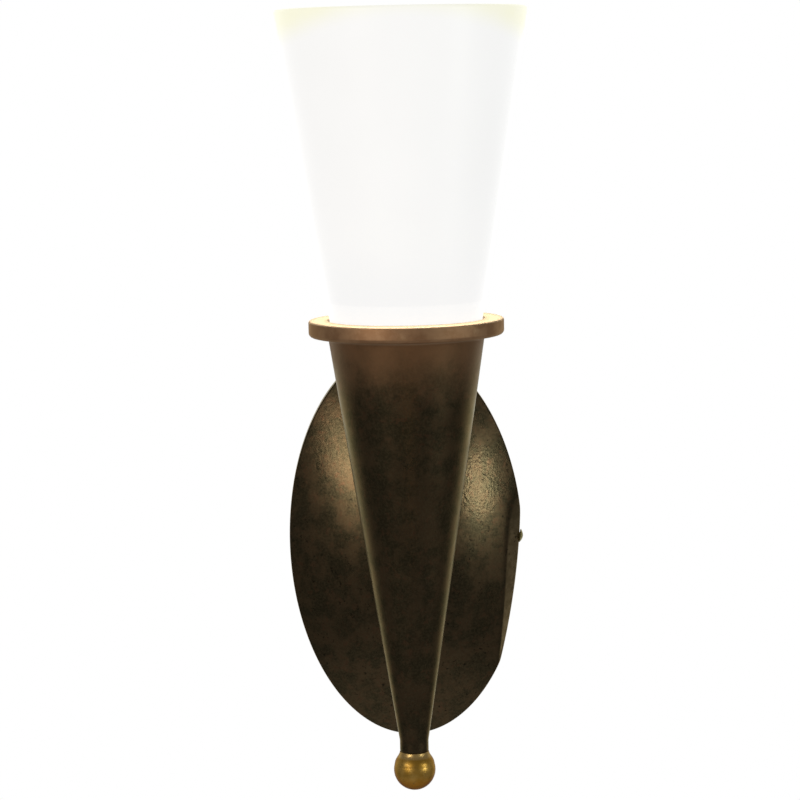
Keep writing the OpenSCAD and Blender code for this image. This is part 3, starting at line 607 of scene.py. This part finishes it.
def make_shade():
    """The drawn glass: a straight taper in a 3 mm wall with a fire-rounded rim, and the faintest waviness.

    The waviness is a factor 1 - 0.0016 (1 + w) / 2 of the radius, with w = 0.6 sin(2 t + 0.6) +
    0.4 sin(3 t + 0.02 z). It fades to nothing towards the seat.
    """
    bottom, top, wall, edge = 105.0, 271.8, 3.0, 0.5
    rim_r, mouth_r, rise = 61.2, 37.281, 149.8
    waviness, calm_z, calm_over = 0.0016, 130, 140
    slope = (rim_r - mouth_r) / rise
    wall_flat = wall / cos(atan(slope))

    def out(z):
        return mouth_r + slope * (z - FLANGE_TOP)

    rim_z = top - wall / 2
    rim = (out(rim_z) - wall_flat / 2, rim_z)
    side_top = rim_z - 0.6

    def wavy(profile, t):
        share = np.clip((profile[:, 1:2] - calm_z) / calm_over, 0, 1)
        wave = np.sin(2 * t + 0.6) * 0.6 + np.sin(3 * t + profile[:, 1:2] * 0.02) * 0.4
        return 1 - waviness * share * (1 + wave) / 2

    profile = outline(
        (out(bottom) - wall_flat + edge, bottom), (out(bottom) - edge, bottom),
        bow((out(bottom) - 0.55, bottom + edge), edge, -80, 0, 4),
        stepped((out(bottom + 1.4), bottom + 1.4), (out(side_top), side_top), 60),
        bow(rim, wall_flat / 2, 4, 176, 18),
        stepped((out(side_top) - wall_flat, side_top), (out(bottom + 1.2) - wall_flat, bottom + 1.2), 40))
    return shell("glass_taper", turned(profile, 224, wavy) + TORCH, "shade", ["glass_shade"],
                 closed_rows=True)


def make_ball():
    """The turned ball: a short neck, a shoulder that swells out of it, the ball, and the bore for the
    pipe."""
    seat, centre, ball_r, bore, bore_end = TIP_Z - 0.25, -102.16, 10.3, 4.86, -104.9
    swell = curve_through([(TIP_R + 0.1, seat - 0.15), (7.4, -93.8), (7.72, -94.6), (8.3, -95.5),
                           (8.95, -96.5), (9.5, -97.6), (9.8, -98.6), (9.95, -99.49)], 5)
    profile = outline((bore, seat), (TIP_R - 0.1, seat), swell[:-1], bow((0, centre), ball_r, 15, -89, 52),
                      (0.0, centre - ball_r), (0.0, bore_end), (bore, bore_end))
    return shell("turned_ball", turned(profile, 160) + TORCH, "finial", ["ball_finial"],
                 closed_rows=True, crease=40)


# ---------------------------------------------------------------- arm and fastenings

PAD_DEPTH = 29.0                           # of the dome's flat seat off the wall; the arm's foot is on it


def make_arm():
    """The arm: a foot, a tube and a collar about the line x = z = 0, coped to the cone.

    A point of the coped end at x, z lies where the cone's circle at that height does: at the axis's depth
    less sqrt((cone_out(z) + gap)^2 - x^2).
    """
    bore, seat, foot_r, foot_t, tube_r, fillet = 5.0, PAD_DEPTH, 12.0, 3, 8.0, 2.5
    collar_r, collar_len, cope_reach, edge, soft, gap = 9.6, 14.5, 8, 0.8, 0.25, 0.05
    foot_top = seat + foot_t
    back = TORCH_DEPTH - cone_out(0) + cope_reach - collar_len
    profile = outline(
        (bore, seat), stepped((bore + 1, seat), (foot_r - 0.3, seat), 4), (foot_r, seat + 0.3),
        bow((foot_r - 1, foot_top - 1), 1, 0, 90, 8), (tube_r + 3.0, foot_top),
        bow((tube_r + fillet, foot_top + fillet), fillet, 270, 180, 12),
        stepped((tube_r, foot_top + 4), (tube_r, back), 8),
        bow((collar_r - edge, back + 2 * edge), edge, 270, 360, 8))
    t = np.linspace(0, 2 * pi, 144, endpoint=False)

    def coped(r):
        return TORCH_DEPTH - np.sqrt((cone_out(r * np.sin(t)) + gap) ** 2 - (r * np.cos(t)) ** 2)

    rows = [(np.full_like(t, r), np.full_like(t, depth)) for r, depth in profile]
    start = profile[-1, 1]
    rows += [(np.full_like(t, collar_r), start + share * (coped(collar_r) - soft - start))
             for share in np.linspace(0.15, 1, 7)]
    rows += [(np.full_like(t, r), coped(r)) for r in np.linspace(collar_r - soft, bore, 8)]
    grid = np.stack([np.stack([r * np.cos(t), -depth, r * np.sin(t)], -1) for r, depth in rows])
    return shell("coped_arm", grid, "fixture", ["arm_tube"], closed_rows=True, crease=50)


# The side screw's seat, and the way its head points.
SCREW_AT = np.array([58.884, -4.2, 1.4])
SCREW_OUT = np.array([0.98821, 0.0, -0.15309])


def make_side_screw():
    """The side screw: a shank and a domed head of height 0.1 + 1.5 (1 - (r / 3.5)^2), with an upright slot.

    Rows are carried round the screw's own axis. In the slot, within half a millimetre of the upright middle
    line, the head is lowered to the slot's floor.
    """
    head, edge, tall, slot_floor, lift = 3.5, 0.1, 1.6, 0.88, 0.05
    slot_half, slot_soft, shank_r, neck_r, foot = 0.58, 0.12, 1.75, 1.6, 9.0
    side = np.array([0.0, 1.0, 0.0])
    t = np.linspace(0, 2 * pi, 96, endpoint=False)
    shank = outline((0, -foot), (1.45, -foot), (shank_r, -foot + 0.3), (shank_r, -2.4), (neck_r, lift),
                    (head - 0.1, lift))
    rows = [(np.full_like(t, r), np.full_like(t, z)) for r, z in shank]
    for lean in np.linspace(0.06, pi / 2, 26):
        r = head * cos(lean)
        top = lift + edge + (tall - edge) * sin(lean) ** 2
        sunk = np.clip((slot_half - np.abs(r * np.cos(t))) / slot_soft, 0, 1)
        rows.append((np.full_like(t, r), top - max(top - slot_floor, 0) * sunk ** 2 * (3 - 2 * sunk)))
    up = np.cross(SCREW_OUT, side)
    grid = np.stack([SCREW_AT + r[:, None] * (np.cos(t)[:, None] * side + np.sin(t)[:, None] * up)
                     + z[:, None] * SCREW_OUT for r, z in rows])
    return shell("domed_screw", grid, "screw", ["side_screw"], crease=50)


def ribbed(profile, t):
    """Twelve ribs round a connector: the radius times 1 - 0.07 (1 - cos 12 t) / 2, fading at both ends."""
    ribs, deep, first, last, fade = 12, 0.07, 5.5, 21.4, 1.5
    z = -profile[:, 1:2]
    share = np.clip((z - first) / fade, 0, 1) * np.clip((last - z) / fade, 0, 1)
    return 1 - deep * share * (1 - np.cos(ribs * t)) / 2


CONNECTOR_MOUTHS = np.array([(-9.0, -10.0, -28.0), (9.0, -10.0, -28.0), (30.0, -10.0, -28.0)])


def make_connectors():
    """Three twist-on connectors, mouth up: a skirt, a ribbed taper and a rounded nose."""
    profile = outline((0, -5.2), (1.4, -5.2), (1.4, -0.4), (1.75, 0), (5.3, 0), (5.6, -0.3), (5.6, -3.7),
                      (5.45, -4.15), stepped((4.9, -5.6), (3.42, -20.6), 24), (3.2, -21.4), (2.5, -22),
                      (0, -22))
    grids = [turned(profile, 144, ribbed) + mouth for mouth in CONNECTOR_MOUTHS]
    return shell("ribbed_connectors", grids, "fixture", ["wire_connectors"])


LEAD_R, LEAD_ROUGH = 0.98, 0.42
LEAD_FALL = [(12.1, 78, 64), (12.1, 78, 62.2), (10.6, 78, 60.6), (7, 78, 60.2), (3.6, 78, 59),
             (1.8, 78, 56.2), (1.2, 78, 51.8), (1.2, 78, 20), (1.2, 78, 9), (1.2, 77.4, 5), (1.2, 75.6, 2),
             (1.2, 72.8, 0.4), (1.2, 69, 0), (1.2, 23.8, 0), (1.2, 13.8, 0), (1.8, 11.2, -1.2),
             (3.4, 9.8, -4.4), (5.6, 8.8, -11), (8, 9.6, -19), (9, 10, -25), (9, 10, -33)]
LEAD_EARTH = [(27.2, 2.8, -4), (28.4, 4, -8), (29.4, 7, -13), (30, 9.4, -20), (30, 10, -25), (30, 10, -33)]


def make_lead(name, route, side, node):
    """One lead: a tube along the smooth curve through its route, given as x, distance from the wall and z."""
    spots = np.array(route, dtype=float) * (side, -1, 1)
    return shell(name, tube_along(curve_through(spots, 10), LEAD_R), "fixture", [node], crease=60)


# ---------------------------------------------------------------- lamp

LAMP_FOOT, LAMP_COLLAR, LAMP_NECK_R = 84.7, 105.7, 12.3


def make_bulb():
    """The lamp's glass, one closed skin: neck, a hollow flare and the ball, each arc tangent to the next."""
    flare, ball, neck_top, middle, skin_foot = 34.2, 24.0, 110.7, 145.7, LAMP_FOOT + 2
    turn = np.degrees(np.arctan2(middle - neck_top, LAMP_NECK_R + flare))
    profile = outline((0, skin_foot), (LAMP_NECK_R, skin_foot),
                      stepped((LAMP_NECK_R, LAMP_COLLAR), (LAMP_NECK_R, neck_top - 0.5), 3),
                      bow((LAMP_NECK_R + flare, neck_top), flare, 180, 180 - turn, 16),
                      bow((0, middle), ball, -turn + 1, 89.5, 40), (0, middle + ball))
    return shell("lamp_glass_skin", turned(profile, 120) + TORCH, "lamp", ["lamp_bulb"])


def rolled_thread(profile, t):
    """The base's rolled thread: on its outside, the radius times 1 - 0.034 (1 + cos(2 pi z / pitch - t)) / 2,
    fading at both ends."""
    pitch, deep, outside, fade = 3.63, 0.034, 12.9, 1.5
    z = profile[:, 1:2]
    share = np.clip((z - LAMP_FOOT - 1) / fade, 0, 1) * np.clip((LAMP_COLLAR - 3 - z) / fade, 0, 1)
    return 1 - deep * share * (profile[:, :1] > outside) * (1 + np.cos(2 * pi * z / pitch - t)) / 2


def make_base():
    """The lamp's threaded base: a thin tube with a rolled thread."""
    inner_r, end_r, outer_r, edge = 12.38, 12.8, 13, 0.3
    profile = outline((inner_r, LAMP_FOOT), (end_r, LAMP_FOOT),
                      stepped((outer_r, LAMP_FOOT + edge), (outer_r, LAMP_COLLAR - edge), 110),
                      (end_r, LAMP_COLLAR), (inner_r, LAMP_COLLAR))
    return shell("threaded_base", turned(profile, 96, rolled_thread) + TORCH, "lamp",
                 ["lamp_base"], closed_rows=True)


# ---------------------------------------------------------------- backplate

PLATE_A, PLATE_B, SKIRT, CROWN, SHEET = 60.3, 101.25, 8.0, 22.0, 1.2
FLAT_DEPTH, FLAT_RISE, FLAT_TWIST = 6.5, 1.04, -0.009
FLAT_CURVE = (58.52, 0.0982, -0.00137)     # x of the bowed side flat: a + b h + c h^2
FLAT_BLEND, PAD_BLEND = 0.35, 0.3          # over which the pressed edges are softened
SKIRT_SHARES = (0.0, 0.35, 0.7, 0.93)      # rows of points up the skirt
PLATE_TURN = radians(1.18)                 # the plate hangs a degree out of line with the torch


def softer(a, b, k):
    """The lower of two values, blended over k: (a + b - sqrt((a - b)^2 + k^2)) / 2."""
    return (a + b - np.sqrt((a - b) ** 2 + k * k)) / 2


def plate_depth(x, h):
    """How far the plate's face stands off the wall at x, height h, and how far the slanted face cuts into the
    dome there, less than 0 where it doesn't reach the dome.

    The dome is the skirt plus the crown times 1 - q^2, with q the share of the oval; it is cut by the slanted
    face, which rises with the distance inside the bowed flat, steeper lower down, and by the arm's flat seat.
    """
    dome = SKIRT + CROWN * (1 - (x / PLATE_A) ** 2 - (h / PLATE_B) ** 2)
    a, b, c = FLAT_CURVE
    inside = (a + b * h + c * h * h - x) / np.sqrt(1 + (b + 2 * c * h) ** 2)
    slant = FLAT_DEPTH + (FLAT_RISE + FLAT_TWIST * h) * inside
    return softer(softer(dome, slant, FLAT_BLEND), np.full_like(x, PAD_DEPTH), PAD_BLEND), dome - slant


def plate_rows(around=360):
    """The plate's outer face as rows of points from the wall to the middle.

    The edge is the softened lower of the oval's radius 1 / sqrt((cos/a)^2 + (sin/b)^2) and the radius at
    which a ray meets the bowed flat. Up the skirt, round a bend whose radius turns the wall into the local
    slope, then straight in to the middle with the depth read from plate_depth. The slope is read between
    near_in and far_in from the edge.
    """
    near_in, far_in, bend, bend_steps = 1.0, 2.6, 1.35, 10
    rightward, beyond = 0.15, 400.0

    def depth_at(spot):
        return plate_depth(spot[:, 0], spot[:, 1])[0]

    t = np.linspace(0, 2 * pi, around, endpoint=False)
    c0, s0 = np.cos(t), np.sin(t)
    oval = 1 / np.sqrt((c0 / PLATE_A) ** 2 + (s0 / PLATE_B) ** 2)
    a, b, c = FLAT_CURVE
    p, q = c * s0 * s0, b * s0 - c0
    root = np.sqrt(np.maximum(q * q - 4 * p * a, 0))
    ray = np.where(np.abs(p) > 1e-9, 2 * a / np.maximum(-q + root, 1e-6), -a / np.minimum(q, -1e-6))
    ray = np.where((c0 > rightward) & (ray > 0), ray, beyond)
    reach = softer(oval, ray, FLAT_BLEND)
    edge = np.stack([reach * c0, reach * s0], -1)
    along = np.roll(edge, -1, 0) - np.roll(edge, 1, 0)
    inward = np.stack([-along[:, 1], along[:, 0]], -1)
    inward /= np.linalg.norm(inward, axis=1, keepdims=True)
    near_depth = depth_at(edge + inward * near_in)
    slope = (depth_at(edge + inward * far_in) - near_depth) / (far_in - near_in)
    top = near_depth - slope * near_in
    lean = np.arctan(slope)
    tangent = bend * np.tan((pi / 2 - lean) / 2)
    rows = [np.column_stack([edge, share * (top - tangent)]) for share in SKIRT_SHARES]
    for k in range(bend_steps + 1):
        turn = (pi / 2 - lean) * k / bend_steps
        spot = edge + inward * (bend * (1 - np.cos(turn)))[:, None]
        rows.append(np.column_stack([spot, top - tangent + bend * np.sin(turn)]))
    last = rows[-1][:, :2]
    for share in np.concatenate([np.linspace(0.992, 0.80, 28), np.linspace(0.785, 0.0, 40)]):
        rows.append(np.column_stack([last * share, depth_at(last * share)]))
    return np.stack(rows)


def make_plate():
    """The pressed plate: its outer face, a rim at the wall, and an inner face one sheet further in.

    The inner face is the outer one moved in by the sheet along the grid's own normals, the cross product of
    the row and column differences; its lowest row is brought back to the wall.
    """
    outer = plate_rows()
    across = np.roll(outer, -1, 1) - np.roll(outer, 1, 1)
    up = np.gradient(outer, axis=0)
    normal = np.cross(across, up)
    normal /= np.maximum(np.linalg.norm(normal, axis=-1, keepdims=True), 1e-9)
    normal[-1] = (0, 0, 1)
    skirt = len(SKIRT_SHARES)
    normal[:skirt, :, 2] = 0
    normal[:skirt] /= np.linalg.norm(normal[:skirt], axis=-1, keepdims=True)
    inner = outer - SHEET * normal
    inner[0, :, 2] = 0
    inner[:, :, 2] = np.maximum(inner[:, :, 2], 0)
    rim = outer[:1] * 0.5 + inner[:1] * 0.5
    rows = np.concatenate([outer[::-1], rim, inner])
    x, h, depth = (rows[..., k] for k in range(3))
    pressed = np.clip(plate_depth(x, h)[1], -4, 4)
    c, s = cos(PLATE_TURN), sin(PLATE_TURN)
    placed = np.stack([c * x - s * h, -depth, s * x + c * h], -1)
    return shell("domed_plate", placed, "fixture", ["backplate"], crease=40,
                 mark=("pressed", pressed))


# ---------------------------------------------------------------- stage and light

FLOOR_R, FLOOR_Z = 1500, -1150.0
ROOM_FADE = (0.25, 1.0)                    # the direction's y over which the reflected room brightens
ROOM_DIM, ROOM_BRIGHT, ROOM_FILL = 0.13, 1.0, 0.40
GLOW_POWER, SPOT_POWER = 0.07, 1.2
SOFTBOX_AIM = (0, -0.05, 0.0)


def pale(name, colour, shine):
    """A pale studio surface whose own colour carries it to white for the camera."""
    mat = bpy.data.materials.new(name)
    mat.use_nodes = True
    tree = mat.node_tree
    shader = tree.nodes["Principled BSDF"]
    shader.inputs["Base Color"].default_value = (*colour, 1)
    shader.inputs["Roughness"].default_value = 0.9
    shader.inputs["Specular IOR Level"].default_value = 0.0
    ray = tree.nodes.new("ShaderNodeLightPath")
    seen = tree.nodes.new("ShaderNodeMath")
    seen.operation = "MULTIPLY"
    seen.inputs[1].default_value = shine
    tree.links.new(ray.outputs["Is Camera Ray"], seen.inputs[0])
    shader.inputs["Emission Color"].default_value = (1, 1, 1, 1)
    tree.links.new(seen.outputs[0], shader.inputs["Emission Strength"])
    return mat


def lay_floor():
    """A round pale floor, well below the fixture: rings of points about the wall line."""
    rings, around = 12, 96
    rows = turned(stepped((0, FLOOR_Z), (FLOOR_R, FLOOR_Z), rings), around)
    spots = np.arange((rings + 1) * around).reshape(rings + 1, around)
    faces = np.stack([spots[:-1], spots[1:], np.roll(spots[1:], -1, 1), np.roll(spots[:-1], -1, 1)], -1)
    mesh = bpy.data.meshes.new("floor")
    mesh.from_pydata((rows.reshape(-1, 3) * MM).tolist(), [], faces.reshape(-1, 4).tolist())
    floor = bpy.data.objects.new("floor", mesh)
    scene.collection.objects.link(floor)
    mesh.materials.append(pale("floor_pale", (0.68, 0.68, 0.67), 0.62))


def facing(at, aim):
    """The matrix of a light that stands at one point and shines to another, both in metres."""
    away = Vector(at) - Vector(aim)
    return Matrix.Translation(Vector(at)) @ away.to_track_quat("Z", "Y").to_matrix().to_4x4()


def hang(kind, name, place, power, colour):
    """A light where its matrix says."""
    lamp = bpy.data.lights.new(name, kind)
    lamp.energy = power
    lamp.color = colour
    light = bpy.data.objects.new(name, lamp)
    light.matrix_world = place
    scene.collection.objects.link(light)
    return light


def soft_light(name, at, size, power, colour):
    """A soft rectangle of light, turned to a point between the plate and the cone."""
    lamp = hang("AREA", name, facing(at, SOFTBOX_AIM), power, colour).data
    lamp.shape = "RECTANGLE"
    lamp.size, lamp.size_y = size


def foot_glow():
    """A warm disk round the glass that shines down, for what the lit glass throws on the flange's top."""
    height, across = 0.131, 0.096
    place = Matrix.Translation((0.0, TORCH[1] * MM, height))
    light = hang("AREA", "foot_glow", place, GLOW_POWER, (1.0, 0.91, 0.78))
    light.visible_camera = False
    light.data.shape = "DISK"
    light.data.size = across
    light.data.spread = radians(120)


def warm_spot():
    """A warm beam from low in front, three times as wide as it is high, on the flange and the cone's top."""
    at, aim, widened = (-0.01, -0.95, -0.08), (0.0, -0.12, 0.094), (3.0, 1.0, 1.0, 1.0)
    place = facing(at, aim) @ Matrix.Diagonal(widened)
    lamp = hang("SPOT", "warm_spot", place, SPOT_POWER, (1.0, 0.70, 0.42)).data
    lamp.spot_size = radians(6.4)
    lamp.spot_blend = 1.0
    lamp.shadow_soft_size = 0.09


def surround():
    """White for the camera. In reflections the white backdrop shows behind the fixture, and fades to the dim
    room in front of it with the direction's y."""
    world = bpy.data.worlds.new("studio")
    scene.world = world
    world.use_nodes = True
    tree = world.node_tree
    tree.nodes.clear()
    new, link = tree.nodes.new, tree.links.new
    ray, split, fade = new("ShaderNodeLightPath"), new("ShaderNodeSeparateXYZ"), new("ShaderNodeMapRange")
    link(new("ShaderNodeTexCoord").outputs["Generated"], split.inputs[0])
    fade.interpolation_type = "SMOOTHSTEP"
    set_span(fade, *ROOM_FADE, ROOM_DIM, ROOM_BRIGHT)
    link(split.outputs["Y"], fade.inputs["Value"])
    plain, other = MIX_NUMBERS
    mirror = new("ShaderNodeMix")
    link(ray.outputs["Is Glossy Ray"], mirror.inputs[MIX_SHARE])
    mirror.inputs[plain].default_value = ROOM_FILL
    link(fade.outputs["Result"], mirror.inputs[other])
    clear = new("ShaderNodeMath")
    clear.operation = "MAXIMUM"
    link(ray.outputs["Is Camera Ray"], clear.inputs[0])
    link(ray.outputs["Is Transmission Ray"], clear.inputs[1])
    seen = new("ShaderNodeMix")
    link(clear.outputs[0], seen.inputs[MIX_SHARE])
    link(mirror.outputs[0], seen.inputs[plain])
    seen.inputs[other].default_value = 1.0
    back = new("ShaderNodeBackground")
    back.inputs["Color"].default_value = (1, 1, 1, 1)
    link(seen.outputs[0], back.inputs["Strength"])
    link(back.outputs[0], new("ShaderNodeOutputWorld").inputs["Surface"])


lay_floor()
surround()
soft_light("left_softbox", (-0.78, -0.86, 0.31), (0.34, 0.28), 1.7, (1.0, 0.94, 0.82))
soft_light("low_softbox", (-0.62, -1.00, 0.15), (0.28, 0.26), 1.2, (1.0, 0.92, 0.80))
soft_light("right_softbox", (0.94, -0.73, 0.10), (0.32, 0.28), 1.9, (0.94, 1.0, 0.92))
foot_glow()
warm_spot()

# ---------------------------------------------------------------- the pieces

cone_bronze().lay_on(make_cone())
plate_bronze().lay_on(make_plate())
aged_brass().lay_on(make_ball())
opal_glass().lay_on(make_shade())

arm_bronze().lay_on(make_arm())
screw_brass().lay_on(make_side_screw())
plain_brass().lay_on(nodes["arm_nut"], nodes["cup_nut"], nodes["cone_boss"], nodes["holder_cap"],
                     nodes["holder_shell"], nodes["holder_contact"], nodes["terminal_screws"])
zinc_steel().lay_on(nodes["mounting_bracket"], nodes["locating_stud"], nodes["arm_washer"],
                    nodes["holder_set_screw"])
threaded_steel("threaded_pipe", "z").lay_on(nodes["centre_pipe"])
threaded_steel("threaded_nipple", "y").lay_on(nodes["arm_nipple"])
green_steel().lay_on(nodes["ground_screw"])
cup_steel().lay_on(nodes["holder_cup"])
lamp_metal().lay_on(make_base(), nodes["holder_screw_shell"])
solder().lay_on(nodes["lamp_contact"], nodes["lamp_filament"])
black_moulding().lay_on(nodes["holder_core"], nodes["lamp_insulator"])
card_liner().lay_on(nodes["holder_liner"])
soft_moulding("bushing_plastic", (0.03, 0.03, 0.03), (0.055, 0.055, 0.055)).lay_on(nodes["nipple_bushing"])
soft_moulding("connector_plastic", (0.62, 0.22, 0.04), (0.78, 0.32, 0.07)).lay_on(make_connectors())
soft_moulding("wire_black", (0.02, 0.02, 0.02), (0.045, 0.045, 0.045), LEAD_ROUGH).lay_on(
    make_lead("black_lead", LEAD_FALL, 1, "lead_black"))
soft_moulding("wire_white", (0.74, 0.72, 0.66), (0.84, 0.83, 0.78), LEAD_ROUGH).lay_on(
    make_lead("white_lead", LEAD_FALL, -1, "lead_white"))
soft_moulding("wire_green", (0.04, 0.26, 0.09), (0.08, 0.36, 0.14), LEAD_ROUGH).lay_on(
    make_lead("green_lead", LEAD_EARTH, 1, "lead_ground"))
soft_moulding("gasket_silicone", (0.74, 0.72, 0.66), (0.84, 0.82, 0.77), 0.7, 500).lay_on(
    nodes["shade_gasket"])
lamp_glass().lay_on(make_bulb())
stem_glass().lay_on(nodes["lamp_stem"])

scene.view_settings.view_transform = "Standard"
